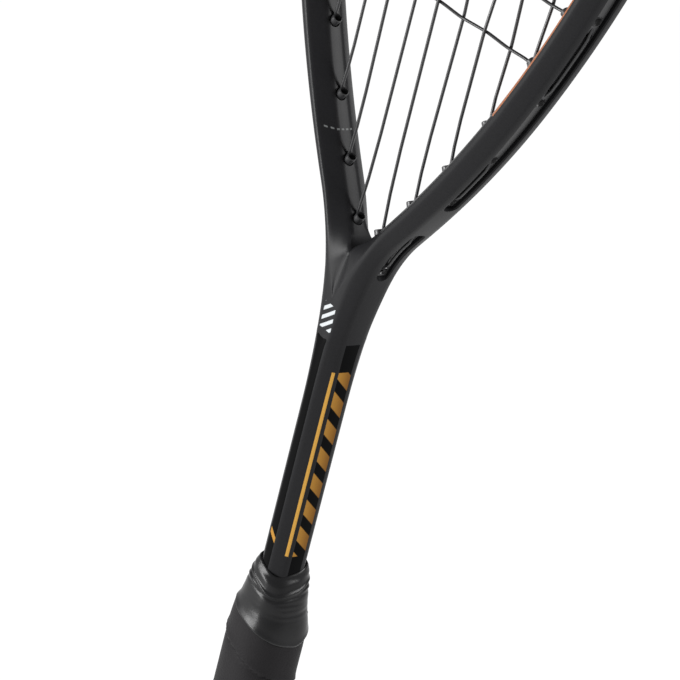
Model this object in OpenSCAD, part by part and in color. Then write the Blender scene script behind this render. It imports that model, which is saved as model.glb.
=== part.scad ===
// Squash racket: a hollow carbon frame with a string bed, grommets and a wrapped grip.
// The long axis is Z with the butt face at z = 0, X runs across the head in the
// plane of the strings, and Y is the depth of the frame, with its front at -Y.

/* [Head] */
// Height of the throat notch, where the inner walls of the arms meet
notch_z = 300.4; // [298:0.1:303]
// Height where the head is widest
wide_z = 530; // [525:1:535]
// Height of the inner wall at the tip
tip_z = 672.4; // [670:0.1:673]
// Half of the inner width of the head
head_half_w = 92; // [90:0.5:93]
// Angle between an arm and the long axis at the notch
notch_angle = 40.4; // [38:0.1:42]
// How far the arm holds its direction above the notch
notch_reach = 69; // [65:1:72]
// How far the side wall stays upright below its widest point
side_reach = 89; // [80:1:92]
// Share of the rise over which the top corner stays full
corner_fill = 0.59; // [0.55:0.01:0.62]

/* [Beam] */
// Thickness of the beam in the plane of the strings
beam_t = 11.2; // [10.5:0.1:11.5]
// Depth of the beam over its ridges
beam_h = 16.6; // [16:0.1:17]
// Depth of the flat inner face
inner_h = 5.8; // [5.6:0.1:6.5]
// Depth of the flat outer face
outer_h = 10; // [9.6:0.1:10.4]
// Distance from the inner face to the near edge of the ridge
ridge_near = 4.3; // [4:0.1:4.6]
// Width of the flat ridge
ridge_w = 2.5; // [2.3:0.1:2.7]
// Thickness of the carbon wall
wall_t = 1.3; // [1.1:0.1:1.5]
// Width of the string groove in the outer face
groove_w = 4.6; // [4.5:0.1:4.8]
// Depth of the string groove
groove_d = 2.4; // [2.4:0.1:2.6]

/* [Shaft] */
// Width of the shaft across the plane of the strings
shaft_w = 14; // [13.5:0.1:14.2]
// Depth of the shaft
shaft_h = 15.4; // [15:0.1:15.6]
// Depth of the flat side of the shaft
flank_h = 8; // [7.6:0.1:8.4]
// Height where the shaft starts to open into the throat
throat_z = 240; // [236:1:244]
// Extra thickness of the arms on their outer side at the notch
swell = 6.2; // [5.6:0.1:6.6]
// Place along the outline where the extra thickness has run out
swell_end = 0.1; // [0.09:0.01:0.12]
// Amount that the arms are thinner just above the throat
waist = 2; // [1.6:0.1:2.2]
// Place along the outline where the arms reach their full thickness
waist_end = 0.4; // [0.36:0.01:0.5]
// Height of the lower end of the carbon tube, inside the handle
tube_z = 9; // [8:0.5:10]

/* [Strings] */
// Diameter of a string
string_d = 1.1; // [1:0.05:1.15]
// Half of the number of main strings
mains_half = 7; // [6:1:7]
// Spacing of the main strings at the middle of the head
main_pitch = 13.2; // [13:0.1:13.4]
// Height that the spacing is stated at
pitch_z = 500; // [490:5:510]
// Distance below the butt of the point that the mains fan out from
fan_depth = 1534; // [1400:10:1700]
// Number of cross strings
crosses = 18; // [17:1:18]
// Height of the lowest cross string
cross_z = 389.6; // [388:0.1:392]
// Gap above the lowest cross string
cross_gap = 19.3; // [19:0.1:19.6]
// Amount that each gap is smaller than the one below it
cross_step = 0.45; // [0.42:0.01:0.48]

/* [Grommets] */
// Radius of a string hole in the frame
hole_r = 2.1; // [2:0.05:2.2]
// Outer radius of a grommet barrel
barrel_r = 1.7; // [1.65:0.05:1.8]
// Radius of the bore of a barrel
bore_r = 1.25; // [1.2:0.05:1.3]
// Length of barrel that stands proud of the inner wall
barrel_proud = 1.6; // [1.2:0.1:2]
// Thickness of a grommet strip
strip_t = 0.9; // [0.8:0.1:1]
// Number of mains on each side that end in the throat insert
insert_mains = 2; // [2:1:2]
// Place along the outline where the side strips end and the bumper starts
bumper_from = 1.36; // [1.3:0.01:1.4]
// Thickness of the bumper rails over the outer face
bumper_t = 1.4; // [1.2:0.1:1.5]

/* [Handle] */
// Width of the handle foam across the plane of the strings
pallet_w = 24; // [23.6:0.1:24.6]
// Depth of the handle foam
pallet_h = 21.2; // [20.8:0.1:21.8]
// Height where the foam starts to taper to the shaft
taper_z = 148; // [144:1:152]
// Height of the top of the foam
pallet_z = 177; // [176:0.5:178]
// Thickness of the underlay tape
underlay_t = 0.3; // [0.2:0.05:0.4]
// Thickness of the grip wrap
wrap_t = 1.5; // [1.3:0.1:1.6]
// Height of the upper end of the grip wrap
wrap_z = 160; // [156:1:162]
// Thickness of the finishing tape
tape_t = 0.3; // [0.2:0.05:0.4]
// Height of the lower edge of the finishing tape
tape_low = 146; // [144:1:150]
// Height of the upper edge of the finishing tape
tape_high = 179; // [178:0.5:180]
// Height of the butt cap's rim
rim_z = 8; // [7:0.5:9]
// Thickness of the butt cap's wall
cap_t = 1.6; // [1.4:0.1:1.8]

/* [Hidden] */

seam = 0.1;                     // clearance between pieces that sit in each other
string_y = string_d / 2 + 0.05; // mains lie this far in front of the middle plane, crosses behind
barrel_lean = 0.35;             // share of the angle from the wall's normal to the string that a barrel leans
lean_limit = 31;                // largest lean in degrees
loop_depth = 0.6;               // the loops lie this far below the outer face
knot_r = 1.7;
inlay_r = 8;
inlay_t = 0.9;
strip_w = groove_w - 0.4;
end_margin = 2.8;               // length of a groove past its last hole
hoop_steps = 23;                // segments in each half of an arm's outline
cavity_steps = 14;              // the same for the hollow inside
throat_steps = 12;
bumper_steps = 14;
throat_pull = 0.48;             // share of a throat corner's length that keeps its end directions
handle_sides = 28;
carbon = [0.13, 0.13, 0.14];
gold = [0.80, 0.60, 0.25];
nylon = [0.07, 0.07, 0.08];
string_black = [0.05, 0.05, 0.06];
foam = [0.85, 0.80, 0.62];
grip_black = [0.10, 0.10, 0.11];
steel = [0.75, 0.76, 0.78];

// ---- Outline of the hoop: s is 0 at the notch, 1 at the widest point, 2 at the tip ----

function bezier(p, t) = pow(1 - t, 3) * p[0] + 3 * pow(1 - t, 2) * t * p[1]
    + 3 * (1 - t) * t * t * p[2] + pow(t, 3) * p[3];
function unit(v) = v / norm(v);
function turned(v, a) = [v[0] * cos(a) - v[1] * sin(a), v[0] * sin(a) + v[1] * cos(a)];
function signed_angle(a, b) = atan2(a[0] * b[1] - a[1] * b[0], a * b);

lower_wall = [[0, notch_z],
    [notch_reach * sin(notch_angle), notch_z + notch_reach * cos(notch_angle)],
    [head_half_w, wide_z - side_reach], [head_half_w, wide_z]];
upper_wall = [[head_half_w, wide_z], [head_half_w, wide_z + corner_fill * (tip_z - wide_z)],
    [corner_fill * head_half_w, tip_z], [0, tip_z]];

function wall(s) = s < 1 ? bezier(lower_wall, s) : bezier(upper_wall, s - 1);
function along(s) = s >= 2 ? [-1, 0] : s <= 0 ? [sin(notch_angle), cos(notch_angle)]
    : unit(wall(min(s + 0.001, 2)) - wall(s - 0.001));
function outward(s) = [along(s)[1], -along(s)[0]];
function place(s, off, y) = let (p = wall(s) + off * outward(s)) [p[0], y, p[1]];
function speed(s) = norm(wall(min(s + 0.001, 2)) - wall(s - 0.001)) / (min(s + 0.001, 2) - s + 0.001);
function ease(t) = let (u = min(1, max(0, t))) u * u * (3 - 2 * u);
function swollen(s) = (s >= swell_end ? 0 : swell * pow(1 - s / swell_end, 2))
    - waist * (1 - ease(s / waist_end));
function outer(s) = beam_t + swollen(s);

// The place where a rising function f crosses zero is found by halving the interval.
function main_x(k, z) = (k - 0.5) * main_pitch * (z + fan_depth) / (pitch_z + fan_depth);
function main_low(k, a = 0, b = 1, n = 0) = n == 24 ? a : let (m = (a + b) / 2, w = wall(m))
    w[0] < main_x(k, w[1]) ? main_low(k, m, b, n + 1) : main_low(k, a, m, n + 1);
function main_high(k, a = 1, b = 2, n = 0) = n == 24 ? a : let (m = (a + b) / 2, w = wall(m))
    w[0] > main_x(k, w[1]) ? main_high(k, m, b, n + 1) : main_high(k, a, m, n + 1);
function cross_height(j) = cross_z + j * cross_gap - cross_step * j * (j - 1) / 2;
function cross_at(j, a = 0, b = 2, n = 0) = n == 24 ? a : let (m = (a + b) / 2)
    wall(m)[1] < cross_height(j) ? cross_at(j, m, b, n + 1) : cross_at(j, a, m, n + 1);

// ---- String ends on the right half: [place s, direction of the string as it leaves the bed] ----

function main_dir(k) = unit([main_x(k, pitch_z), pitch_z + fan_depth]);
function low_end(k) = [main_low(k), -main_dir(k)];
function high_end(k) = [main_high(k), main_dir(k)];
function cross_end(j) = [cross_at(j), [1, 0]];
function barrel_dir(e) = let (full = signed_angle(outward(e[0]), e[1]),
    lean = sign(full) * min(lean_limit, barrel_lean * abs(full))) turned(outward(e[0]), lean);
function mouth(e) = wall(e[0]) - barrel_proud * e[1];
function reach(e, off) = (off + barrel_proud * (e[1] * outward(e[0])))
    / (barrel_dir(e) * outward(e[0]));
function in_barrel(e, off) = mouth(e) + reach(e, off) * barrel_dir(e);
function exit_at(e, past = 0) = e[0]
    + (past + (in_barrel(e, outer(e[0])) - wall(e[0])) * along(e[0])) / speed(e[0]);
// A point on the barrel's axis at a height over the outer face where the barrel leaves it
function near_exit(e, rise) = in_barrel(e, outer(exit_at(e)) + rise);

low_ends = [for (k = [1 : mains_half]) low_end(k)];
high_ends = [for (k = [1 : mains_half]) high_end(k)];
cross_ends = [for (j = [0 : crosses - 1]) cross_end(j)];
all_ends = concat(low_ends, high_ends, cross_ends);
insert_ends = [for (k = [0 : insert_mains - 1]) low_ends[k]];
strip_ends = [for (e = all_ends) if (e[0] > insert_ends[insert_mains - 1][0] + 0.01
    && e[0] < bumper_from) e];
bumper_ends = [for (e = all_ends) if (e[0] >= bumper_from) e];
insert_span = [exit_at(insert_ends[0], -end_margin), exit_at(insert_ends[insert_mains - 1], end_margin)];
groove_from = exit_at(low_ends[insert_mains], -end_margin);

// ---- Cross-sections, as lists of [distance outwards from the inner wall, depth] ----

mid_off = beam_t / 2;
beam = let (a = inner_h / 2, b = beam_h / 2, c = outer_h / 2)
    [[0, -a], [ridge_near, -b], [ridge_near + ridge_w, -b], [beam_t, -c],
     [beam_t, c], [ridge_near + ridge_w, b], [ridge_near, b], [0, a]];
beam_cavity = [for (p = beam) [mid_off + (p[0] - mid_off) * (1 - 2 * wall_t / beam_t),
    p[1] * (1 - 2 * wall_t / beam_h)]];
// Half of the shaft's octagon, its corners in the order of the beam's
half_shaft = let (x = shaft_w / 2, y = shaft_h / 2, f = flank_h / 2)
    [[0, -y + 0.6], [0, -y], [ridge_w, -y], [x, -f], [x, f], [ridge_w, y], [0, y], [0, y - 0.6]];
half_bore = [for (p = half_shaft) [p[0] * (1 - 2 * wall_t / shaft_w), p[1] * (1 - 2 * wall_t / shaft_h)]];

// The swelling moves the outer corners in full and the ridge by about half.
function ring(s, section) = [for (p = section)
    place(s, p[0] + swollen(s) * min(1, max(0, p[0] - ridge_near / 2) / (beam_t - wall_t)), p[1])];
function level(z, section) = [for (p = section) [p[0], p[1], z]];
// The throat blends each corner of the shaft into the same corner of the arm.
function throat_ring(t, low, high) = let (a = level(throat_z, low), b = ring(0, high),
    ahead = ring(0.002, high))
    [for (i = [0 : 7]) let (d = unit(ahead[i] - b[i]), pull = throat_pull * norm(b[i] - a[i]))
        bezier([a[i], a[i] + [0, 0, pull], b[i] - pull * d, b[i]], t)];
function arm_rings(low, high, steps) = concat(
    [level(tube_z, low), level(throat_z - 10, low)],
    [for (i = [0 : throat_steps - 1]) throat_ring(i / throat_steps, low, high)],
    [for (i = [0 : 2 * steps]) ring(i / steps, high)]);

// ---- Building blocks ----

// A solid through a row of rings
module chain(rings)
    for (i = [0 : len(rings) - 2])
        hull() polyhedron(points = concat(rings[i], rings[i + 1]),
            faces = [[for (n = [0 : len(rings[i]) + len(rings[i + 1]) - 1]) n]]);

module both_sides() { children(); mirror([1, 0, 0]) children(); }

// A rod between two points
module rod(a, b, r, sides = 12)
    translate(a) rotate([0, acos((b - a)[2] / norm(b - a)), atan2((b - a)[1], (b - a)[0])])
        cylinder(h = norm(b - a), r = r, $fn = sides);

function at_depth(p, y) = [p[0], y, p[1]];

// A band that follows the outer face between two places on the outline
module band(from, to, off_low, off_high, y_low, y_high, steps)
    chain([for (i = [0 : steps]) let (s = from + (to - from) * i / steps, t = outer(s))
        [place(s, t + off_low, y_low), place(s, t + off_high, y_low),
         place(s, t + off_high, y_high), place(s, t + off_low, y_high)]]);

module groove(from, to, steps)
    band(from, to, -groove_d, 2, -groove_w / 2, groove_w / 2, steps);

// Drilled holes and grommet barrels at a list of string ends
module holes(ends)
    for (e = ends) rod(at_depth(mouth(e), 0), at_depth(near_exit(e, 0.5), 0), hole_r, 8);
module barrels(ends)
    for (e = ends)
        rod(at_depth(mouth(e), 0), at_depth(near_exit(e, strip_t / 2 + seam - groove_d), 0), barrel_r, 10);
module bores(ends)
    for (e = ends)
        rod(at_depth(mouth(e) - barrel_dir(e), 0), at_depth(near_exit(e, 0), 0), bore_r, 8);

// A grommet strip: a band on the groove's floor with a barrel in each hole
module strip(from, to, ends, steps)
    difference() {
        union() {
            band(from, to, seam - groove_d, seam - groove_d + strip_t, -strip_w / 2, strip_w / 2, steps);
            barrels(ends);
        }
        bores(ends);
    }

// ---- Frame and grommets ----

module frame() color(carbon) difference() {
    both_sides() chain(arm_rings(half_shaft, beam, hoop_steps));
    both_sides() {
        chain(concat([level(tube_z - 1, half_bore)], arm_rings(half_bore, beam_cavity, cavity_steps)));
        groove(insert_span[0], insert_span[1], 4);
        groove(groove_from, 2, 28);
        holes(all_ends);
    }
}

module throat_insert() strip(insert_span[0] + 0.004, insert_span[1] - 0.004, insert_ends, 8);
module side_strip() strip(groove_from + 0.004, bumper_from - 0.002, strip_ends, 20);

module throat_insert_right() color(nylon) throat_insert();
module throat_insert_left() color(nylon) mirror([1, 0, 0]) throat_insert();
module side_strip_right() color(nylon) side_strip();
module side_strip_left() color(nylon) mirror([1, 0, 0]) side_strip();

// The bumper is a grommet strip with two rails that stand over the outer face.
module bumper_guard() color(nylon) difference() {
    rail_in = string_y + string_d / 2 + 0.3;
    rail_foot = seam - groove_d;
    both_sides() {
        strip(bumper_from + 0.002, 2, bumper_ends, bumper_steps);
        for (side = [-1, 1]) {
            band(bumper_from + 0.002, 2, rail_foot, bumper_t,
                min(side * rail_in, side * strip_w / 2), max(side * rail_in, side * strip_w / 2), bumper_steps);
            band(bumper_from + 0.002, 2, seam / 2, bumper_t,
                min(side * rail_in, side * outer_h / 2), max(side * rail_in, side * outer_h / 2), bumper_steps);
        }
    }
    both_sides() bores(bumper_ends);
}

// ---- Strings ----

module main_strings() color(string_black) both_sides()
    for (k = [0 : mains_half - 1])
        rod(at_depth(mouth(low_ends[k]), -string_y), at_depth(mouth(high_ends[k]), -string_y),
            string_d / 2, 24);

module cross_strings() color(string_black)
    for (e = cross_ends) let (m = mouth(e))
        rod([-m[0], string_y, m[1]], [m[0], string_y, m[1]], string_d / 2, 24);

// Outside the frame a string leaves one barrel, lies in the groove and enters the next.
module loop(a, b, y) {
    corner_a = near_exit(a, -loop_depth);
    corner_b = near_exit(b, -loop_depth);
    hull() rod(at_depth(mouth(a) + 0.2 * barrel_dir(a), y), at_depth(corner_a, y), string_d / 2, 6);
    hull() rod(at_depth(mouth(b) + 0.2 * barrel_dir(b), y), at_depth(corner_b, y), string_d / 2, 6);
    hull() rod(at_depth(corner_a, y), at_depth(corner_b, y), string_d / 2, 6);
}

module main_string_loops() color(string_black) {
    both_sides() {
        for (k = [0 : 2 : mains_half - 2]) loop(low_ends[k], low_ends[k + 1], -string_y);
        for (k = [1 : 2 : mains_half - 2]) loop(high_ends[k], high_ends[k + 1], -string_y);
        middle = near_exit(high_ends[0], -loop_depth);
        hull() rod(at_depth(middle, -string_y), [-0.1, -string_y, middle[1]], string_d / 2, 6);
        hull() rod(at_depth(mouth(high_ends[0]) + 0.2 * barrel_dir(high_ends[0]), -string_y),
            at_depth(middle, -string_y), string_d / 2, 6);
    }
}

module cross_string_loops() color(string_black) {
    for (j = [0 : 2 : crosses - 2]) loop(cross_ends[j], cross_ends[j + 1], string_y);
    mirror([1, 0, 0])
        for (j = [1 : 2 : crosses - 2]) loop(cross_ends[j], cross_ends[j + 1], string_y);
}

// Four knots, where the two ends of the mains and of the crosses are tied off
module tie_off_knots() color(string_black) {
    last = crosses - 1;
    both_sides() translate(at_depth(mouth(low_ends[mains_half - 1]) + [-1.2, knot_r + 1], 0))
        sphere(r = knot_r, $fn = 24);
    for (j = [0, last])
        translate([-mouth(cross_ends[j])[0] + knot_r + 0.4, string_y + string_d / 2 + knot_r + 0.05,
            cross_height(j)]) sphere(r = knot_r, $fn = 24);
}

// ---- Handle ----

// A soft octagon: between an ellipse and a rectangle
function handle_outline(w, h) = [for (i = [0 : handle_sides - 1]) let (a = 360 * i / handle_sides,
    c = cos(a), s = sin(a)) [w / 2 * sign(c) * pow(abs(c), 0.78), h / 2 * sign(s) * pow(abs(s), 0.78)]];
function handle_ring(z, grow) = let (t = min(1, max(0, (z - taper_z) / (pallet_z - taper_z))),
    blend = t * t, w = pallet_w + (shaft_w + 0.8 - pallet_w) * blend,
    h = pallet_h + (shaft_h + 0.8 - pallet_h) * blend)
    [for (p = handle_outline(w + 2 * grow, h + 2 * grow)) [p[0], p[1], z]];
function handle_rings(from, to, grow, steps = 10) = concat(
    from < taper_z ? [handle_ring(from, grow)] : [],
    [for (i = [0 : steps]) let (z = max(from, taper_z) + (to - max(from, taper_z)) * i / steps)
        handle_ring(z, grow)]);

module shaft_profile(grow) {
    x = shaft_w / 2 + grow;
    y = shaft_h / 2 + grow;
    f = flank_h / 2 + 0.4 * grow;
    r = ridge_w + 0.4 * grow;
    polygon([[-r, -y], [r, -y], [x, -f], [x, f], [r, y], [-r, y], [-x, f], [-x, -f]]);
}

// The handle's foam is moulded in two halves that meet on the plane x = 0.
module pallet() difference() {
    chain(handle_rings(rim_z + 0.5, pallet_z, 0));
    translate([0, 0, rim_z]) linear_extrude(pallet_z) shaft_profile(seam);
    translate([-50 + seam / 2, -50, 0]) cube([50, 100, pallet_z + 10]);
    chain([handle_ring(rim_z, 1), handle_ring(rim_z + 18, 1)]);
}
module pallet_foot() intersection() {
    difference() {
        translate([0, 0, rim_z + 0.5]) linear_extrude(17.6)
            polygon(handle_outline(pallet_w - 2 * cap_t - 2 * seam, pallet_h - 2 * cap_t - 2 * seam));
        translate([0, 0, rim_z]) linear_extrude(pallet_z) shaft_profile(seam);
    }
    translate([seam / 2, -50, 0]) cube([50, 100, pallet_z]);
}
module handle_pallet_right() color(foam) { pallet(); pallet_foot(); }
module handle_pallet_left() color(foam) mirror([1, 0, 0]) { pallet(); pallet_foot(); }

module shaft_plug() color(foam) translate([0, 0, tube_z]) linear_extrude(22)
    offset(delta = -wall_t - seam) shaft_profile(0);

// A flared rim with a sleeve that the foam sits in
module butt_cap() color(grip_black) difference() {
    union() {
        linear_extrude(1.2) polygon(handle_outline(pallet_w + 5.2, pallet_h + 5.2));
        translate([0, 0, 1.2]) linear_extrude(rim_z - 3.2) polygon(handle_outline(pallet_w + 6.4, pallet_h + 6.4));
        translate([0, 0, rim_z - 2]) linear_extrude(2) polygon(handle_outline(pallet_w + 5, pallet_h + 5));
        linear_extrude(rim_z + 17.8) polygon(handle_outline(pallet_w, pallet_h));
    }
    translate([0, 0, rim_z]) linear_extrude(30)
        polygon(handle_outline(pallet_w - 2 * cap_t, pallet_h - 2 * cap_t));
    translate([0, 0, -1]) cylinder(h = 1 + inlay_t + seam, r = inlay_r + seam, $fn = 64);
    for (side = [-1, 1], z = [-1, 1]) staple_leg(side, z, 0.06);
}

// A plain round inlay, flush with the butt face
module butt_insert() color(gold) cylinder(h = inlay_t, r = inlay_r, $fn = 64);

staple_z = rim_z + 12;
module staple_leg(side, z, grow)
    translate([side * (pallet_w / 2 - 3.4), 0, staple_z + z * 4])
        rotate([0, side * 90, 0]) cylinder(h = 4, r = 0.4 + grow, $fn = 16);
module butt_staples() color(steel) for (side = [-1, 1]) {
    for (z = [-1, 1]) staple_leg(side, z, 0);
    translate([side * (pallet_w / 2 + 0.45), 0, staple_z - 4.4]) cylinder(h = 8.8, r = 0.4, $fn = 16);
}

// The wrap, its underlay and the tape are sleeves over the foam.
module sleeve(from, to, inner, outer, steps = 10) difference() {
    chain(handle_rings(from, to, outer, steps));
    chain(concat([for (p = [handle_ring(from, inner)]) [for (q = p) q - [0, 0, 1]]],
        handle_rings(from, to, inner, steps), [[for (q = handle_ring(to, inner)) q + [0, 0, 1]]]));
}
module grip_underlay() color(steel) sleeve(rim_z + 18.2, wrap_z - 4, 0.03, underlay_t, 8);
module grip_wrap() color(grip_black) difference() {
    sleeve(rim_z + 0.2, wrap_z, underlay_t + 0.05, underlay_t + wrap_t, 8);
    for (side = [-1, 1])
        translate([side * (pallet_w / 2 + 0.45), 0, staple_z]) cube([1.2, 1.4, 9.6], center = true);
    translate([0, -pallet_h / 2 - 0.45, staple_z]) cube([9.6, 1.2, 1.4], center = true);
}
module grip_start_staple() color(steel) translate([-4.4, -pallet_h / 2 - 0.48, staple_z])
    rotate([0, 90, 0]) cylinder(h = 8.8, r = 0.35, $fn = 16);

module finishing_tape() color(grip_black) difference() {
    union() {
        chain(handle_rings(tape_low, wrap_z + 0.6, underlay_t + wrap_t + tape_t, 4));
        chain(handle_rings(wrap_z + 0.6, tape_high, underlay_t + wrap_t * 0.5, 10));
    }
    chain(concat([handle_ring(tape_low - 1, underlay_t + wrap_t + 0.04)],
        handle_rings(tape_low, wrap_z + 0.1, underlay_t + wrap_t + 0.04, 4)));
    chain(concat(handle_rings(wrap_z, pallet_z, 0.05, 8)));
    translate([0, 0, pallet_z - 1]) linear_extrude(10) shaft_profile(0.06);
}

frame();
throat_insert_left();
throat_insert_right();
side_strip_left();
side_strip_right();
bumper_guard();
main_strings();
cross_strings();
main_string_loops();
cross_string_loops();
tie_off_knots();
shaft_plug();
handle_pallet_left();
handle_pallet_right();
butt_cap();
butt_insert();
butt_staples();
grip_underlay();
grip_wrap();
grip_start_staple();
finishing_tape();
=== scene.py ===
# %% [markdown]
# # A squash racket
# A squash racket is one hollow carbon moulding: a head, two arms that meet in a
# throat, and a shaft. Nylon grommets line the string holes, one string makes the
# mains and another the crosses, and foam, a butt cap, a grip wrap and a band of
# tape make the handle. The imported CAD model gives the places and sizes, and each
# piece here is a finished mesh in the same frame: +Z runs from butt to tip, X
# across the head, and the front face looks towards -Y.

# %% Load the frame
import math

import bmesh
import bpy
from mathutils import Matrix, Vector, noise


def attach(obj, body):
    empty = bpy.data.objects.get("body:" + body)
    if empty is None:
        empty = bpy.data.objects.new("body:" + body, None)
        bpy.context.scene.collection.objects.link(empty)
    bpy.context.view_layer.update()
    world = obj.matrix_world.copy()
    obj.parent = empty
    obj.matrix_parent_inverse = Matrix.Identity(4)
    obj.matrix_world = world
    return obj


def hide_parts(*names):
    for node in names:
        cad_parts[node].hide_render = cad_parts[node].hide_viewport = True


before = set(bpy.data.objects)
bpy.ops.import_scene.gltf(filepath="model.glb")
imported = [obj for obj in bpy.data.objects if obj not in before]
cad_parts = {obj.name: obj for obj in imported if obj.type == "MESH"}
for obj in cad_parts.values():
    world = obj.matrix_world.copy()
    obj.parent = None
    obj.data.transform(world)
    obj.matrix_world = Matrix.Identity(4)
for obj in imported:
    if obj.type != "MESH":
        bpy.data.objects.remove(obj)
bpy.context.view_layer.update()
bpy.ops.object.select_all(action="DESELECT")
print("CAD nodes:", len(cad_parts))

# %% [markdown]
# The camera comes first, because it says which parts are seen. It stands to the
# front and right of the racket and a little above it, leans to one side, and has
# a long lens, so the throat fills the view and the head runs out of it.

# %% Camera
MM = 0.001
CAMERA_AZIMUTH = math.radians(50.5)
CAMERA_ELEVATION = math.radians(24.24)
CAMERA_ROLL = math.radians(-14.31)
CAMERA_DISTANCE = 0.8444
CAMERA_LENS = 136.4
AIM = Vector((0.01104, -0.00916, 0.27315))

towards_camera = Vector((
    math.sin(CAMERA_AZIMUTH) * math.cos(CAMERA_ELEVATION),
    -math.cos(CAMERA_AZIMUTH) * math.cos(CAMERA_ELEVATION),
    math.sin(CAMERA_ELEVATION)))
level_right = Vector((0, 0, 1)).cross(towards_camera).normalized()
level_up = towards_camera.cross(level_right)
camera_right = level_right * math.cos(CAMERA_ROLL) - level_up * math.sin(CAMERA_ROLL)
camera_up = level_up * math.cos(CAMERA_ROLL) + level_right * math.sin(CAMERA_ROLL)
bpy.ops.object.camera_add(location=AIM + towards_camera * CAMERA_DISTANCE)
camera = bpy.context.object
camera.data.lens = CAMERA_LENS
camera.data.clip_start = 0.05
camera.matrix_world = Matrix.Translation(camera.location) @ Matrix(
    (camera_right, camera_up, towards_camera)).transposed().to_4x4()
bpy.context.scene.camera = camera
print("camera at", [round(value, 3) for value in camera.location])

# %% [markdown]
# The hoop, the grommet strips, the bumper and the string ends all follow one
# outline, the inner wall of the head. On the real racket it is a mould line. Here
# it is two Bezier curves in millimetres, from the throat notch (s = 0) past the
# widest point (s = 1) to the tip (s = 2), with the same driving sizes as the CAD
# model. Everything else is placed by a distance outwards from that line.

# %% The outline of the head
NOTCH_Z, WIDE_Z, TIP_Z, HEAD_HALF_W = 300.4, 530, 672.4, 92
NOTCH_ANGLE, NOTCH_REACH, SIDE_REACH, CORNER_FILL = math.radians(40.4), 69, 89, 0.59
LOWER_WALL = [(0, NOTCH_Z),
    (NOTCH_REACH * math.sin(NOTCH_ANGLE), NOTCH_Z + NOTCH_REACH * math.cos(NOTCH_ANGLE)),
    (HEAD_HALF_W, WIDE_Z - SIDE_REACH), (HEAD_HALF_W, WIDE_Z)]
UPPER_WALL = [(HEAD_HALF_W, WIDE_Z), (HEAD_HALF_W, WIDE_Z + CORNER_FILL * (TIP_Z - WIDE_Z)),
    (CORNER_FILL * HEAD_HALF_W, TIP_Z), (0, TIP_Z)]


def bezier(points, t):
    weights = ((1 - t) ** 3, 3 * (1 - t) ** 2 * t, 3 * (1 - t) * t * t, t ** 3)
    return sum((Vector(point) * weight for point, weight in zip(points, weights)),
        Vector(points[0]) * 0)


def wall(s):
    return bezier(LOWER_WALL, s) if s < 1 else bezier(UPPER_WALL, s - 1)


def along(s):
    if s >= 2:
        return Vector((-1, 0))
    if s <= 0:
        return Vector((math.sin(NOTCH_ANGLE), math.cos(NOTCH_ANGLE)))
    return (wall(min(s + 0.001, 2)) - wall(s - 0.001)).normalized()


def outward(s):
    return Vector((along(s)[1], -along(s)[0]))


def place(s, off, y):
    """The point at distance off outside the inner wall and at depth y, in millimetres."""
    spot = wall(s) + outward(s) * off
    return Vector((spot[0], y, spot[1]))


def speed(s):
    low, high = s - 0.001, min(s + 0.001, 2)
    return (wall(high) - wall(low)).length / (high - low)


def evenly(low, high, step):
    """Places from low to high along the outline, about step millimetres apart."""
    samples = 400
    places = [low + (high - low) * i / samples for i in range(samples + 1)]
    run = [0]
    for first, second in zip(places, places[1:]):
        run.append(run[-1] + speed((first + second) / 2) * (second - first))
    count = max(2, round(run[-1] / step))
    result, at = [], 0
    for number in range(count + 1):
        goal = run[-1] * number / count
        while at < samples - 1 and run[at + 1] < goal:
            at += 1
        share = (goal - run[at]) / (run[at + 1] - run[at])
        result.append(places[at] + (places[at + 1] - places[at]) * min(1, share))
    return result


print("inner head:", 2 * HEAD_HALF_W, "mm wide,", round(TIP_Z - NOTCH_Z), "mm long")

# %% [markdown]
# The beam is 11 mm thick in the plane of the strings and 17 mm deep, with a flat
# ridge on the front and back. It is thinner just above the throat and swells
# where the arms run into the shaft.

# %% The beam's thickness and section
BEAM_T, BEAM_H, INNER_H, OUTER_H = 11.2, 16.6, 5.8, 10.0
RIDGE_NEAR, RIDGE_W, WALL_T = 4.3, 2.5, 1.3
SWELL, SWELL_END, WAIST, WAIST_END = 6.2, 0.1, 2.0, 0.4
SHAFT_W, SHAFT_H, FLANK_H = 14.0, 15.4, 8.0
TUBE_Z, THROAT_Z, THROAT_PULL = 9, 240, 0.48
GROOVE_W, GROOVE_D = 4.6, 2.4


def ease(t):
    t = min(1, max(0, t))
    return t * t * (3 - 2 * t)


def swollen(s):
    flare = SWELL * (1 - s / SWELL_END) ** 2 if s < SWELL_END else 0
    return flare - WAIST * (1 - ease(s / WAIST_END))


def outer(s):
    return BEAM_T + swollen(s)


def rounded(corners, radius):
    """Two points in place of each corner of a closed outline, radius away from it."""
    result = []
    for number, corner in enumerate(corners):
        for other in (corners[number - 1], corners[(number + 1) % len(corners)]):
            way = Vector(other) - Vector(corner)
            result.append(Vector(corner) + way * min(0.45, radius / max(way.length, 1e-6)))
    return result


EDGE_R = 0.5
beam_section = rounded([(0, -INNER_H / 2), (RIDGE_NEAR, -BEAM_H / 2),
    (RIDGE_NEAR + RIDGE_W, -BEAM_H / 2), (BEAM_T, -OUTER_H / 2), (BEAM_T, OUTER_H / 2),
    (RIDGE_NEAR + RIDGE_W, BEAM_H / 2), (RIDGE_NEAR, BEAM_H / 2), (0, INNER_H / 2)], EDGE_R)
outer_corners = rounded([(0, -SHAFT_H / 2), (RIDGE_W, -SHAFT_H / 2), (SHAFT_W / 2, -FLANK_H / 2),
    (SHAFT_W / 2, FLANK_H / 2), (RIDGE_W, SHAFT_H / 2), (0, SHAFT_H / 2)], EDGE_R)[2:10]
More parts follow.
